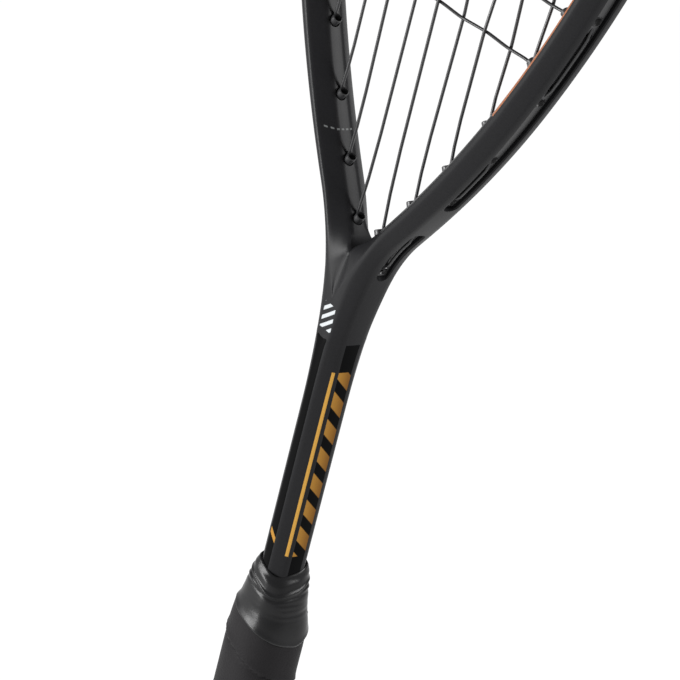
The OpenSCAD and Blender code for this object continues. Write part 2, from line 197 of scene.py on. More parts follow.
# The inner corners of the two arms close up on the middle line of the shaft.
half_shaft = ([Vector((0, -SHAFT_H / 2))] * 4 + outer_corners + [Vector((0, SHAFT_H / 2))] * 4)
print("points round the beam:", len(beam_section), "and round half of the shaft:", len(half_shaft))

# %% [markdown]
# Long pieces are drawn as a maker lays up a tube: one ring is placed, its edge is
# extruded, and the new ring is moved and shaped, again and again along the path.
# A whole number stored on each corner goes along with the extrusion, so a new
# vertex knows its place in the ring.

# %% Drawing a piece ring by ring
def finish_edit(smooth_angle=None):
    bpy.ops.mesh.select_all(action="SELECT")
    bpy.ops.mesh.normals_make_consistent(inside=False)
    bpy.ops.object.mode_set(mode="OBJECT")
    if smooth_angle is not None:
        bpy.ops.object.shade_smooth_by_angle(angle=math.radians(smooth_angle))


def extruded(name, rings, caps=True, smooth_angle=40):
    """A piece through rings of points in millimetres, each with the same number of points."""
    bpy.ops.object.select_all(action="DESELECT")
    bpy.ops.mesh.primitive_circle_add(vertices=len(rings[0]), radius=1)
    piece = bpy.context.object
    piece.name = piece.data.name = name
    bpy.ops.object.mode_set(mode="EDIT")
    cage = bmesh.from_edit_mesh(piece.data)
    corner = cage.verts.layers.int.new("corner")
    for number, vertex in enumerate(cage.verts):
        vertex[corner] = number
        vertex.co = rings[0][number] * MM
    bpy.ops.mesh.select_all(action="SELECT")
    for ring in rings[1:]:
        bpy.ops.mesh.extrude_edges_move()
        cage = bmesh.from_edit_mesh(piece.data)
        corner = cage.verts.layers.int["corner"]
        for vertex in cage.verts:
            if vertex.select:
                vertex.co = ring[vertex[corner]] * MM
    if caps:
        bpy.ops.mesh.select_all(action="SELECT")
        bpy.ops.mesh.fill_holes(sides=0)
    finish_edit(smooth_angle)
    return piece


def use_only(piece):
    bpy.ops.object.select_all(action="DESELECT")
    piece.select_set(True)
    bpy.context.view_layer.objects.active = piece


def modify(piece, kind, **settings):
    """Adds one modifier and applies it at once."""
    use_only(piece)
    bpy.ops.object.modifier_add(type=kind)
    modifier = piece.modifiers[-1]
    for name, value in settings.items():
        setattr(modifier, name, value)
    bpy.ops.object.modifier_apply(modifier=modifier.name)
    return piece


def joined(name, pieces):
    bpy.ops.object.select_all(action="DESELECT")
    for piece in pieces:
        piece.select_set(True)
    bpy.context.view_layer.objects.active = pieces[0]
    if len(pieces) > 1:
        bpy.ops.object.join()
    pieces[0].name = pieces[0].data.name = name
    return pieces[0]


def combined(piece, tool, operation):
    """Adds or cuts away another solid, which is then removed."""
    modify(piece, "BOOLEAN", object=tool, operation=operation, solver="MANIFOLD")
    bpy.data.objects.remove(tool)
    return piece


def mirrored(piece):
    return modify(piece, "MIRROR", use_axis=(True, False, False), use_clip=True,
        use_mirror_merge=True, merge_threshold=0.00001)


def copy_of(piece, name, flip=False):
    """A second piece with its own mesh, turned over to the other side of the racket if asked."""
    twin = piece.copy()
    twin.data = piece.data.copy()
    twin.name = twin.data.name = name
    bpy.context.scene.collection.objects.link(twin)
    if flip:
        twin.data.transform(Matrix.Scale(-1, 4, (1, 0, 0)))
        twin.data.flip_normals()
    return twin


# %% [markdown]
# The frame's half runs from the tube's end in the handle up the shaft, through
# the throat and round the hoop to the tip. In the throat each corner of the shaft
# bends into the same corner of the arm, so the narrow front strip of the shaft
# parts into the two ridges, with a shallow web between them that closes the notch.
# The half is mirrored, and one level of subdivision rounds what the mould rounds.

# %% The frame's blank
def level(z, section):
    return [Vector((point[0], point[1], z)) for point in section]


# The ring's points on the edge of the inner wall and at both corners of the ridges
WALL_EDGE, RIDGE_INNER, RIDGE_OUTER = (0, 1, 14, 15), (2, 3, 12, 13), (4, 5, 10, 11)
WEB_EDGE = (1, 14)
# Towards the notch the ridges stand further out from the inner wall.
RIDGE_SHIFT, RIDGE_THIN, RIDGE_PULL = 2.6, 1.0, 0.25
PARTING_Z, VALLEY_HALF = 283, 1.6
# The web that closes the notch is shallow and its front edge stands a little higher.
WEB_DEPTH, WEB_LIFT, WEB_END = 2.6, 1.8, 0.045


def arm_ring(s):
    reach = BEAM_T - WALL_T
    near_notch = max(0, 1 - s / SWELL_END)
    near_web = max(0, 1 - s / WEB_END) ** 2
    ring = []
    for number, (off, y) in enumerate(beam_section):
        flare = swollen(s) * min(1, max(0, off - RIDGE_NEAR / 2) / reach)
        if number in RIDGE_INNER:
            flare += RIDGE_SHIFT * near_notch
        if number in RIDGE_OUTER:
            flare += (RIDGE_SHIFT - RIDGE_THIN) * near_notch
        spot = place(s, off + flare, y)
        if number in WALL_EDGE:
            spot[1] += math.copysign(WEB_DEPTH * near_web, y)
            spot[2] += WEB_LIFT * near_web * (1 if number in WEB_EDGE else 0.3)
        ring.append(spot)
    return ring


def throat_ring(t):
    """From the shaft (t = 0) to the arm at the notch (t = 1)."""
    low, high, ahead = level(THROAT_Z, half_shaft), arm_ring(0), arm_ring(0.002)
    parting = (PARTING_Z - THROAT_Z) / (NOTCH_Z - THROAT_Z)
    ring = []
    for number, (first, last, beyond) in enumerate(zip(low, high, ahead)):
        if number in WALL_EDGE + RIDGE_INNER:
            # The inner corners stay on the middle line up to where the ridges part.
            front = first + Vector((0, 0, PARTING_Z - THROAT_Z))
            risen = max(0, (t - parting) / (1 - parting))
            spot = front.lerp(last, risen) if risen else first.lerp(front, t / parting)
            if number in WEB_EDGE:
                spot[0] += VALLEY_HALF * math.sqrt(risen * (1 - risen)) * 2
            ring.append(spot)
            continue
        share = RIDGE_PULL if number in RIDGE_OUTER else THROAT_PULL
        pull = share * (last - first).length
        ring.append(bezier([first, first + Vector((0, 0, pull)),
            last - (beyond - last).normalized() * pull, last], t))
    return ring


THROAT_STEPS = 20
shaft_levels = [TUBE_Z, TUBE_Z + 2, 40, 90, 130, 160, 190, 215, 232, THROAT_Z]
frame_rings = [level(z, half_shaft) for z in shaft_levels]
frame_rings += [throat_ring(i / THROAT_STEPS) for i in range(1, THROAT_STEPS)]
frame_rings += [arm_ring(s) for s in evenly(0, 2, 4.5)]
frame_piece = extruded("frame_shell", frame_rings, caps=False, smooth_angle=None)

# Each band of faces round the ring gets its own finish: 0 satin, 1 gloss, 2 copper.
BREAK_Z, COPPER_Z = 268.5, 372
use_only(frame_piece)
bpy.ops.object.mode_set(mode="EDIT")
bpy.ops.mesh.select_all(action="SELECT")
bpy.ops.mesh.bisect(plane_co=(0, 0, BREAK_Z * MM), plane_no=(0, 0, 1))
bpy.ops.mesh.select_all(action="SELECT")
bpy.ops.mesh.bisect(plane_co=(0, 0, COPPER_Z * MM), plane_no=(0, 0, 1))
cage = bmesh.from_edit_mesh(frame_piece.data)
corner = cage.verts.layers.int["corner"]
for face in cage.faces:
    corners = {vertex[corner] for vertex in face.verts}
    height = face.calc_center_median()[2] / MM
    front_strip = corners <= {0, 1, 2, 3, 4} or corners <= {11, 12, 13, 14, 15}
    if height < BREAK_Z and (front_strip or corners == {7, 8}):
        face.material_index = 1
    elif height > COPPER_Z and (corners <= {0, 1, 2, 3} or corners <= {12, 13, 14, 15, 0}):
        face.material_index = 2
bpy.ops.object.mode_set(mode="OBJECT")

# Faces that lie on the middle plane go, and what reaches past it is cut off.
MIDDLE = 0.000002
bpy.ops.object.mode_set(mode="EDIT")
bpy.ops.mesh.select_all(action="SELECT")
bpy.ops.mesh.remove_doubles(threshold=2 * MIDDLE)
bpy.ops.mesh.bisect(plane_co=(0, 0, 0), plane_no=(1, 0, 0), clear_inner=True, threshold=MIDDLE)
bpy.ops.mesh.select_mode(type="FACE")
bpy.ops.mesh.select_all(action="DESELECT")
cage = bmesh.from_edit_mesh(frame_piece.data)
for face in cage.faces:
    face.select = all(abs(vertex.co.x) < 2 * MIDDLE for vertex in face.verts)
bpy.ops.mesh.delete(type="FACE")
bpy.ops.mesh.select_mode(type="VERT")
bpy.ops.object.mode_set(mode="OBJECT")
mirrored(frame_piece)
bpy.ops.object.mode_set(mode="EDIT")
bpy.ops.mesh.select_all(action="SELECT")
bpy.ops.mesh.remove_doubles(threshold=2 * MIDDLE)
bpy.ops.mesh.fill_holes(sides=0)
finish_edit()
modify(frame_piece, "SUBSURF", levels=1, render_levels=1)
print("frame blank:", len(frame_piece.data.polygons), "faces")

# %% [markdown]
# The string bed fixes every hole. The mains fan out slightly towards the tip and
# the crosses sit closer together the higher they are. Each string end is a pair:
# its place on the outline, and the way the string points as it leaves the bed. A
# grommet barrel leans from the wall's own direction part of the way towards it.

# %% String ends
STRING_R, MAINS_HALF, MAIN_PITCH, PITCH_Z, FAN_DEPTH = 0.55, 7, 13.2, 500, 1534
CROSSES, CROSS_Z, CROSS_GAP, CROSS_STEP = 18, 389.6, 19.3, 0.45
HOLE_R, BARREL_R, BORE_R, BARREL_PROUD, STRIP_T = 2.1, 1.7, 1.25, 1.6, 0.9
BARREL_LEAN, LEAN_LIMIT, END_MARGIN, BUMPER_FROM = 0.35, math.radians(31), 2.8, 1.36
SEAM = 0.1


def main_x(k, z):
    return (k - 0.5) * MAIN_PITCH * (z + FAN_DEPTH) / (PITCH_Z + FAN_DEPTH)


def cross_height(j):
    return CROSS_Z + j * CROSS_GAP - CROSS_STEP * j * (j - 1) / 2


def crossing(rises, low, high):
    """The place between low and high where rises(s) turns true, by halving the interval."""
    for _ in range(24):
        middle = (low + high) / 2
        if rises(middle):
            high = middle
        else:
            low = middle
    return low


def main_way(k):
    return Vector((main_x(k, PITCH_Z), PITCH_Z + FAN_DEPTH)).normalized()


def low_end(k):
    return crossing(lambda s: wall(s)[0] >= main_x(k, wall(s)[1]), 0, 1), -main_way(k)


def high_end(k):
    return crossing(lambda s: wall(s)[0] <= main_x(k, wall(s)[1]), 1, 2), main_way(k)


def cross_end(j):
    return crossing(lambda s: wall(s)[1] >= cross_height(j), 0, 2), Vector((1, 0))


def barrel_way(end):
    out, way = outward(end[0]), end[1]
    full = math.atan2(out[0] * way[1] - out[1] * way[0], out.dot(way))
    lean = math.copysign(min(LEAN_LIMIT, BARREL_LEAN * abs(full)), full)
    return Vector((out[0] * math.cos(lean) - out[1] * math.sin(lean),
        out[0] * math.sin(lean) + out[1] * math.cos(lean)))


def mouth(end):
    return wall(end[0]) - end[1] * BARREL_PROUD


def in_barrel(end, off):
    out = outward(end[0])
    reach = (off + BARREL_PROUD * end[1].dot(out)) / barrel_way(end).dot(out)
    return mouth(end) + barrel_way(end) * reach


def exit_at(end, past=0):
    gap = (in_barrel(end, outer(end[0])) - wall(end[0])).dot(along(end[0]))
    return end[0] + (past + gap) / speed(end[0])


def near_exit(end, rise):
    """On the barrel's axis, this far over the outer face where the barrel leaves it."""
    return in_barrel(end, outer(exit_at(end)) + rise)


low_ends = [low_end(k + 1) for k in range(MAINS_HALF)]
high_ends = [high_end(k + 1) for k in range(MAINS_HALF)]
cross_ends = [cross_end(j) for j in range(CROSSES)]
all_ends = low_ends + high_ends + cross_ends
insert_ends = low_ends[:2]
strip_ends = [end for end in all_ends if insert_ends[1][0] + 0.01 < end[0] < BUMPER_FROM]
bumper_ends = [end for end in all_ends if end[0] >= BUMPER_FROM]
insert_low, insert_high = exit_at(insert_ends[0], -END_MARGIN), exit_at(insert_ends[1], END_MARGIN)
groove_low = exit_at(low_ends[2], -END_MARGIN)
print("string ends on one side:", len(insert_ends), "in the insert,", len(strip_ends),
    "in the strip,", len(bumper_ends), "in the bumper")

# %% [markdown]
# A groove round the outside of the hoop hides the strings where they turn from
# one hole to the next. Above the throat a separate short pocket does the same for
# the two middle mains. The mould gives both round ends and eased rims. The tools
# that cut them follow the outline, and one drill per string end makes the holes.

# %% Cut the grooves and holes
def ring_at(s, profile, flip=1):
    """Points of a profile given as distances over the outer face and depths."""
    ring = [place(s, outer(s) + off, y) for off, y in profile]
    return [Vector((flip * point[0], point[1], point[2])) for point in ring]


def channel_profile(half, ease_at_rim=0.5):
    soft = min(0.7, 0.5 * half)
    rim = half + ease_at_rim
    return [(soft - GROOVE_D, -half), (-GROOVE_D, soft - half), (-GROOVE_D, half - soft),
        (soft - GROOVE_D, half), (-0.45, half), (0.12, rim), (2, rim), (2, -rim), (0.12, -rim),
        (-0.45, -half)]


def channel(low, high, round_high=True):
    half = GROOVE_W / 2
    turn = [math.radians(angle) for angle in (4, 20, 40, 60, 80)]
    stops = [(low + half * (1 - math.cos(a)) / speed(low), half * math.sin(a)) for a in turn]
    inner_low = low + half / speed(low)
    inner_high = high - half / speed(high) if round_high else high
    stops += [(s, half) for s in evenly(inner_low, inner_high, 4)]
    if round_high:
        stops += [(high - half * (1 - math.cos(a)) / speed(high), half * math.sin(a))
            for a in reversed(turn)]
    return [(s, channel_profile(width)) for s, width in stops]


def round_the_tip(stops):
    """Rings up the right side, over the tip and down the left side."""
    right = [ring_at(s, profile) for s, profile in stops]
    left = [ring_at(s, profile, -1) for s, profile in stops[-2::-1]]
    return right + left


def rod(name, stops, way, sides=24):
    """A turned piece about the line from the origin along way: stops are (place, radius)."""
    side = Vector((0, 1, 0))
    other = way.cross(side)
    rings = []
    for spot, radius in stops:
        rings.append([spot + (side * math.cos(a) + other * math.sin(a)) * radius
            for a in (2 * math.pi * i / sides for i in range(sides))])
    return extruded(name, rings)


def flat(point, y=0):
    return Vector((point[0], y, point[1]))


def both_sides(name, pieces):
    """Joins the pieces of the right side and their mirror images."""
    right = joined(name, pieces)
    return joined(name, [right, copy_of(right, name, flip=True)])


def drill(end):
    way = flat(barrel_way(end))
    return rod("drill", [(flat(mouth(end)), HOLE_R), (flat(near_exit(end, 0.5)), HOLE_R)], way)


groove_tool = extruded("groove", round_the_tip(channel(groove_low, 2, False)))
pocket_tool = both_sides("pocket", [extruded("pocket",
    [ring_at(s, profile) for s, profile in channel(insert_low, insert_high)])])
combined(frame_piece, groove_tool, "DIFFERENCE")
combined(frame_piece, pocket_tool, "DIFFERENCE")
combined(frame_piece, both_sides("drills", [drill(end) for end in all_ends]), "DIFFERENCE")
use_only(frame_piece)
bpy.ops.object.shade_smooth_by_angle(angle=math.radians(32))
modify(frame_piece, "WEIGHTED_NORMAL", keep_sharp=True)
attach(frame_piece, "root")
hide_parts("frame")
print("frame:", len(frame_piece.data.polygons), "faces,", 2 * len(all_ends), "holes")

# %% [markdown]
# The grommets are soft nylon. Two short inserts sit in the throat pockets, a long
# strip lines each side, and the bumper goes over the tip with two rails that take
# the knocks. Each is a band with a hollow barrel at every hole: the band is
# extruded along the groove, the barrels are added, and the bores are cut last.

# %% Grommet strips and bumper
BARREL_TIP = 1.2


def barrel(end):
    way = flat(barrel_way(end))
    tip, foot = flat(mouth(end)), flat(near_exit(end, STRIP_T / 2 + SEAM - GROOVE_D))
    tip -= way * BARREL_TIP
    return rod("barrel", [(tip, BARREL_R - 0.22), (tip + way * 0.25, BARREL_R), (foot, BARREL_R)], way)


def bore(end):
    way = flat(barrel_way(end))
    tip, foot = flat(mouth(end)), flat(near_exit(end, STRIP_T + SEAM - GROOVE_D))
    tip -= way * BARREL_TIP
    return rod("bore", [(tip - way, BORE_R + 0.2), (tip, BORE_R + 0.2), (tip + way * 0.4, BORE_R),
        (foot - way * 0.7, BORE_R), (foot + way * 0.2, BORE_R + 0.5), (foot + way, BORE_R + 0.5)], way)


strip_half = (GROOVE_W - 0.4) / 2
floor_off, face_off = SEAM - GROOVE_D, SEAM - GROOVE_D + STRIP_T
strip_profile = rounded([(floor_off, -strip_half), (face_off, -strip_half),
    (face_off, strip_half), (floor_off, strip_half)], 0.25)
RAIL_IN, RAIL_OUT, RAIL_T = STRING_R * 2 + 0.35, OUTER_H / 2, 1.4
rail_profile = [(floor_off, -strip_half), (0.05, -strip_half), (0.05, -RAIL_OUT), (0.9, -RAIL_OUT),
    (RAIL_T, 0.6 - RAIL_OUT), (RAIL_T, -RAIL_IN - 0.5), (RAIL_T - 0.4, -RAIL_IN), (face_off, -RAIL_IN)]
bumper_profile = rail_profile + [(off, -y) for off, y in reversed(rail_profile)]


def grommets(name, rings, ends, both=False):
    piece = extruded(name, rings)
    for make, operation in ((barrel, "UNION"), (bore, "DIFFERENCE")):
        tools = [make(end) for end in ends]
        tool = both_sides("tool", tools) if both else joined("tool", tools)
        combined(piece, tool, operation)
    use_only(piece)
    bpy.ops.object.shade_smooth_by_angle(angle=math.radians(32))
    return piece


insert_right = grommets("throat_insert_shape_right", [ring_at(s, strip_profile)
    for s in evenly(insert_low + 0.004, insert_high - 0.004, 2)], insert_ends)
strip_right = grommets("side_strip_shape_right", [ring_at(s, strip_profile)
    for s in evenly(groove_low + 0.004, BUMPER_FROM - 0.002, 4)], strip_ends)
bumper = grommets("bumper_shape", round_the_tip([(s, bumper_profile)
    for s in evenly(BUMPER_FROM + 0.002, 2, 4)]), bumper_ends, both=True)
insert_left = copy_of(insert_right, "throat_insert_shape_left", flip=True)
strip_left = copy_of(strip_right, "side_strip_shape_left", flip=True)
nylon_pieces = {insert_right: "throat_insert_right", insert_left: "throat_insert_left",
    strip_right: "side_strip_right", strip_left: "side_strip_left", bumper: "bumper_guard"}
for piece, node_name in nylon_pieces.items():
    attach(piece, "root")
    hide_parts(node_name)
print("grommet faces:", [len(piece.data.polygons) for piece in nylon_pieces])

# %% [markdown]
# A racket is strung with two lengths of string. One makes all the mains, going
# up one and down the next and turning outside the frame, and the other is woven
# through them as the crosses. Each is drawn as one line through every crossing
# and every grommet, rounded by cutting its corners, and given its thickness.

# %% Strings
WEAVE, TURN_OFF = 0.56, -0.82


def weave(column, row):
    return WEAVE if (column + row) % 2 == 0 else -WEAVE


def rounded_line(points, times=2):
    for _ in range(times):
        cut = [points[0]]
        for first, second in zip(points, points[1:]):
            cut.append(first.lerp(second, 0.25))
            cut.append(first.lerp(second, 0.75))
        points = cut + [points[-1]]
    return points


def drawn_line(name, points, radius, cyclic=False):
    bpy.ops.object.select_all(action="DESELECT")
    bpy.ops.curve.primitive_nurbs_path_add()
    piece = bpy.context.object
    piece.name = name
    curve = piece.data
    curve.splines.clear()
    line = curve.splines.new("POLY")
    line.points.add(len(points) - 1)
    for spot, point in zip(line.points, points):
        spot.co = (*(point * MM), 1)
    line.use_cyclic_u = cyclic
    line.use_smooth = True
    curve.bevel_depth = radius * MM
    curve.bevel_resolution = 2
    curve.use_fill_caps = True
    bpy.ops.object.convert(target="MESH")
    piece = bpy.context.object
    bpy.ops.object.mode_set(mode="EDIT")
    bpy.ops.mesh.select_all(action="SELECT")
    bpy.ops.mesh.remove_doubles(threshold=2 * MIDDLE)
    finish_edit(60)
    return piece


def main_run(side, k):
    """From the low end to the high end of a main, mouth to mouth."""
    column = MAINS_HALF - 1 + k if side > 0 else MAINS_HALF - k
    low, high = mouth(low_ends[k - 1]), mouth(high_ends[k - 1])
    points = [flat(low)]
    for row in range(CROSSES):
        for z in (cross_height(row) - 1.2, cross_height(row) + 1.2):
            if low[1] + 2 < z < high[1] - 2:
                points.append(Vector((main_x(k, z), weave(column, row), z)))
    points.append(flat(high))
    return [Vector((side * point[0], point[1], point[2])) for point in points]


def turn(first, second, side):
    """Outside the frame, out of one barrel, along the groove and into the next."""
    start, stop = exit_at(first), exit_at(second)
    points = [near_exit(first, TURN_OFF)]
    for s in evenly(start, stop, 5)[1:-1]:
        points.append(wall(s) + outward(s) * (outer(s) + TURN_OFF))
    points.append(near_exit(second, TURN_OFF))
    return [Vector((side * point[0], 0, point[1])) for point in points]


main_line = []
for side in (1, -1):
    half_line = []
    for k in range(MAINS_HALF, 0, -1):
        upward = (MAINS_HALF - k) % 2 == 0
        run = main_run(side, k)
        half_line += run if upward else run[::-1]
        if k > 1:
            ends = high_ends if upward else low_ends
            half_line += turn(ends[k - 1], ends[k - 2], side)
    top = near_exit(high_ends[0], TURN_OFF)
    half_line.append(Vector((side * top[0], 0, top[1])))
    main_line += half_line if side > 0 else half_line[::-1]


def cross_run(row):
    """From the left end to the right end of a cross, mouth to mouth."""
    reach, z = mouth(cross_ends[row])[0], cross_height(row)
    points = [Vector((-reach, 0, z))]
    for column in range(2 * MAINS_HALF):
        side = 1 if column >= MAINS_HALF else -1
        k = column - MAINS_HALF + 1 if side > 0 else MAINS_HALF - column
        x = side * main_x(k, z)
        if abs(x) < reach - 2:
            points += [Vector((x + step, -weave(column, row), z)) for step in (-1.2, 1.2)]
    return points + [Vector((reach, 0, z))]


cross_line = []
for row in range(CROSSES):
    rightward = row % 2 == 0
    run = cross_run(row)
    cross_line += run if rightward else run[::-1]
    if row < CROSSES - 1:
        cross_line += turn(cross_ends[row], cross_ends[row + 1], 1 if rightward else -1)

mains = drawn_line("main_string", rounded_line(main_line), STRING_R)
crosses = drawn_line("cross_string", rounded_line(cross_line), STRING_R)


def knot_at(spot, size=0.42):
    """A trefoil pulled tight, as the end of a string is tied off."""
    steps = 60
    points = []
    for number in range(steps):
        a = 2 * math.pi * number / steps
        wide = 2 + math.cos(3 * a)
        points.append(spot + Vector((wide * math.cos(2 * a), wide * math.sin(2 * a),
            1.3 * math.sin(3 * a))) * size)
    return drawn_line("knot", points, STRING_R, cyclic=True)


main_tie = mouth(low_ends[-1]) + Vector((-1.2, 2.7))
knots = [knot_at(Vector((side * main_tie[0], 0, main_tie[1]))) for side in (1, -1)]
for row in (0, CROSSES - 1):
    knots.append(knot_at(Vector((2.1 - mouth(cross_ends[row])[0], 1.6, cross_height(row)))))
knot_piece = joined("knots", knots)
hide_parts("main_strings", "main_string_loops")
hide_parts("cross_strings", "cross_string_loops")
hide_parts("tie_off_knots")
for piece in (mains, crosses, knot_piece):
    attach(piece, "root")
length = [sum((b - a).length for a, b in zip(line, line[1:])) for line in (main_line, cross_line)]
print("main string:", round(length[0] / 1000, 2), "m, cross string:", round(length[1] / 1000, 2), "m")

# %% [markdown]
# The handle is foam on the shaft, wrapped in a soft polyurethane grip whose edges
# overlap in a spiral. Its section is between an ellipse and a rectangle, and it
# tapers to the shaft at the top. The wrap is one skin of rings, with the spiral
# seam pressed into it: the upper turn's edge stands over a thin crease. Where the
# tape covers it, the wrap is drawn in a little.

# %% The grip wrap
PALLET_W, PALLET_H, TAPER_Z, PALLET_Z = 24.0, 21.2, 148, 177
UNDERLAY_T, WRAP_T, WRAP_Z, TAPE_T = 0.3, 1.5, 162, 0.3
TAPE_LOW, TAPE_SLANT, TAPE_HIGH, RIM_Z = 152.5, 8.5, 179, 8
WRAP_PITCH, SEAM_START, WRAP_STEPS = 27.0, 141.3, 190
HANDLE_SIDES = 72


def handle_point(z, angle, grow):
    blend = min(1, max(0, (z - TAPER_Z) / (PALLET_Z - TAPER_Z))) ** 2
    width = PALLET_W + (SHAFT_W + 0.8 - PALLET_W) * blend + 2 * grow
    depth = PALLET_H + (SHAFT_H + 0.8 - PALLET_H) * blend + 2 * grow
    c, s = math.cos(angle), math.sin(angle)
    return Vector((width / 2 * math.copysign(abs(c) ** 0.78, c),
        depth / 2 * math.copysign(abs(s) ** 0.78, s), z))


def handle_ring(z, grow):
    angles = [2 * math.pi * number / HANDLE_SIDES for number in range(HANDLE_SIDES)]
    return [handle_point(z, angle, grow(z, angle) if callable(grow) else grow) for angle in angles]


def over_seam(z, angle):
    """Height over the wrap's seam in millimetres, from 0 to one pitch."""
    return (z - SEAM_START + WRAP_PITCH * (angle / (2 * math.pi) + 0.11)) % WRAP_PITCH


def tape_edge(angle):
    """The slanted lower edge of the tape, lowest at the right and highest at the front left."""
    low_angle, slant = math.radians(8), math.radians(138)
    turned = (low_angle - angle) % (2 * math.pi)
    back = (turned - slant) / (2 * math.pi - slant)
    rise = turned / slant if turned < slant else 1 - back ** 1.8
    return TAPE_LOW + TAPE_SLANT * rise


def wrap_grow(z, angle):
    rise = over_seam(z, angle)
    below = WRAP_PITCH - rise
    edge = 0.5 * math.exp(-(rise / 2.2) ** 2) - 0.16 * math.exp(-(below / 2.5) ** 2)
    crease = -0.7 * math.exp(-((rise if rise < below else -below) / 0.6) ** 2)
    ripple = 0.08 * noise.noise(Vector((angle * 1.5, z / 9, 3)))
    under_tape = 0.5 * ease((z - tape_edge(angle) - 0.5) / 2)
    return UNDERLAY_T + WRAP_T - 0.12 + edge + crease + ripple - under_tape


wrap_inner = UNDERLAY_T + 0.02
wrap_levels = [RIM_Z + 0.3 + (WRAP_Z - RIM_Z - 0.3) * i / WRAP_STEPS
    for i in range(WRAP_STEPS + 1)]
wrap_rings = [handle_ring(RIM_Z + 0.3, wrap_inner), handle_ring(RIM_Z + 0.3, wrap_inner + 0.9)]
wrap_rings += [handle_ring(z, wrap_grow) for z in wrap_levels[1:]]
wrap_rings.append(handle_ring(WRAP_Z, wrap_inner))


def tube(name, rings, smooth_angle=40):
    """A closed tube: the last ring is bridged back to the first."""
    piece = extruded(name, rings, caps=False, smooth_angle=None)
    use_only(piece)
    bpy.ops.object.mode_set(mode="EDIT")
    bpy.ops.mesh.select_all(action="DESELECT")
    bpy.ops.mesh.select_non_manifold()
    bpy.ops.mesh.bridge_edge_loops()
    finish_edit(smooth_angle)
    return piece


wrap = tube("grip_wrap_skin", wrap_rings, smooth_angle=60)
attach(wrap, "root")
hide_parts("grip_wrap")
print("grip wrap:", len(wrap.data.polygons), "faces,", round((WRAP_Z - RIM_Z) / WRAP_PITCH, 1), "turns")

# %% [markdown]
# A band of stretched vinyl tape holds the wrap's upper end. It is drawn tight
# over the step at the top of the foam, so it puckers in fine wrinkles there, and
# its turns leave two thin edges round the neck. Its upper edge dips at the front
# right and its lower edge runs in a slant. All of this is height added to a thin
# tube of rings.

# %% The finishing tape
NECK_Z, TAPE_STEPS = 160.6, 84
DIP_RISE, DIP_DEPTH, DIP_ANGLE = 1.8, 3.4, math.radians(39.5)


def tape_dip(angle):
    """How far the tape's upper edge and its last turns stand over their mean height."""
    return DIP_RISE - DIP_DEPTH * max(0, math.cos(angle + DIP_ANGLE)) ** 2


def tape_grow(z, angle):
    on_wrap = UNDERLAY_T + WRAP_T + TAPE_T
    on_foam = UNDERLAY_T + 0.75
    grow = on_wrap + (on_foam - on_wrap) * ease((z - NECK_Z + 5) / 10)
    grow += 0.4 * math.exp(-((z - tape_edge(angle)) / 1.6) ** 2)
    for turn_z, height, slant in ((170.8, 0.22, 1.4), (173.6, 0.38, -1.0)):
        gap = z - turn_z - tape_dip(angle) - slant * math.cos(angle + 0.6)
        grow += height * (math.exp(-(gap / 0.55) ** 2) - 0.8 * math.exp(-((gap + 1.2) / 0.6) ** 2))
    # The wrinkles are finest where the tape was pulled round the right side.
    pull = 0.06 + 0.24 * max(0, math.cos(angle - 0.1)) ** 4
    wrinkle = noise.noise(Vector((math.cos(angle) * 1.1, math.sin(angle) * 1.1, z / 1.5)))
    grow += pull * wrinkle * math.exp(-((z - 166) / 3.5) ** 2)
    broad = noise.noise(Vector((math.cos(angle) * 1.4, math.sin(angle) * 1.4, z / 9 + 7)))
    shoulder = 0.9 * ease((z - tape_dip(angle) - 175.8) / 3.2)
    return grow + 0.18 * broad - shoulder


def tape_ring(share, thinner):
    """The ring at a share of the way from the tape's lower edge to its upper edge."""
    ring = []
    for side in range(HANDLE_SIDES):
        angle = 2 * math.pi * side / HANDLE_SIDES
        z = tape_edge(angle) + (TAPE_HIGH + tape_dip(angle) - tape_edge(angle)) * share
        ring.append(handle_point(z, angle, tape_grow(z, angle) - thinner))
    return ring


tape_rings = []
for number in range(TAPE_STEPS + 1):
    # Both edges are thinned over two rings.
    step = min(1, number / 2, (TAPE_STEPS - number) / 2)
    tape_rings.append(tape_ring(number / TAPE_STEPS, 0.32 * (1 - step)))
tape_rings += [tape_ring(share, 0.6) for share in (1, 0.5, 0)]
tape = tube("tape_band", tape_rings, smooth_angle=60)
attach(tape, "root")
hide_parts("finishing_tape")
print("tape:", len(tape.data.polygons), "faces")

# %% [markdown]
# The butt cap is a rubber moulding that flares over the end of the handle, so the
# hand can feel where the grip stops. Its sleeve goes under the wrap and is stapled
# to the foam. It is drawn as rings with a rounded flare, and a shallow round
# recess in its end takes the inlay.

# %% The butt cap
CAP_T, INLAY_R, INLAY_T = 1.6, 8.0, 0.9


def cap_ring(z, grow):
    ring = [handle_point(0, 2 * math.pi * i / HANDLE_SIDES, grow) for i in range(HANDLE_SIDES)]
    return [Vector((point[0], point[1], z)) for point in ring]


outside_stops = [(0, 1.5), (0.25, 2.25), (0.8, 2.85), (1.8, 3.15), (4.2, 3.2), (5.8, 3.0),
    (7.0, 2.6), (7.7, 2.1), (RIM_Z, 1.4), (RIM_Z + 0.1, 0.02), (RIM_Z + 17.8, 0.02)]
inside_stops = [(RIM_Z + 17.8, -CAP_T), (RIM_Z + 0.4, -CAP_T)]
cap = extruded("cap_moulding", [cap_ring(z, grow) for z, grow in outside_stops + inside_stops])
recess = rod("recess", [(Vector((0, 0, -1)), INLAY_R + SEAM),
    (Vector((0, 0, INLAY_T + SEAM)), INLAY_R + SEAM)], Vector((0, 0, 1)), sides=64)
combined(cap, recess, "DIFFERENCE")
use_only(cap)
bpy.ops.object.shade_smooth_by_angle(angle=math.radians(35))
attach(cap, "root")
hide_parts("butt_cap")
print("butt cap:", len(cap.data.polygons), "faces")

